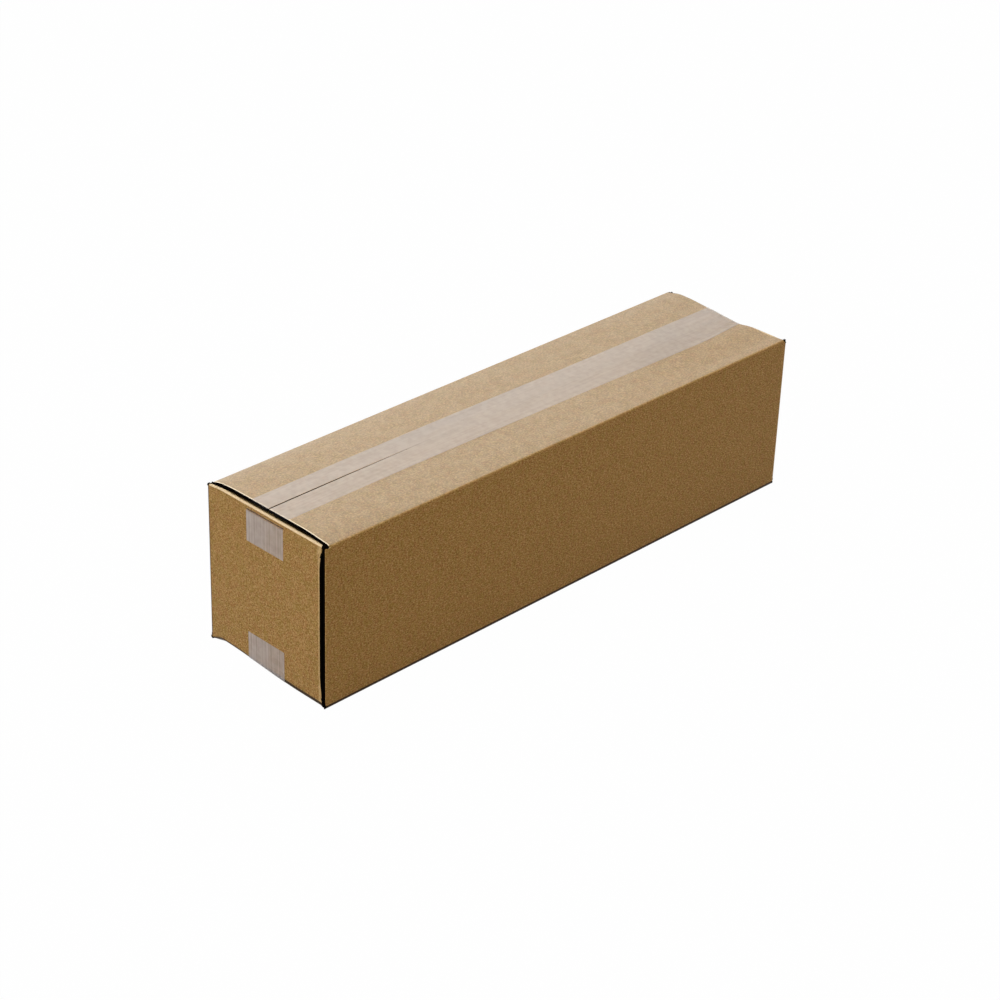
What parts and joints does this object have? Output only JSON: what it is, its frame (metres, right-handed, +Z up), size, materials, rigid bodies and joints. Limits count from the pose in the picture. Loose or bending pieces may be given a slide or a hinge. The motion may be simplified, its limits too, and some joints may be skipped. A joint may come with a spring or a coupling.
{
  "type": "corrugated shipping box",
  "caption": "Long closed carton folded from single-wall corrugated board, glued at one corner, with clear packing tape over its flap seams.",
  "frame": {"origin": "middle of the underside, where the bottom tape meets the floor", "axes": "+X along the box away from the end with the glued corner, +Y across it away from the glued front panel, +Z up"},
  "size_m": [0.6062, 0.153, 0.167],
  "materials": {
    "kraft_board": "uncoated brown kraft liner",
    "clear_tape": "clear glossy film"
  },
  "bodies": {
    "root": {"folded_box": "kraft_board", "top_tape": "clear_tape", "bottom_tape": "clear_tape"}
  },
  "joints": []
}
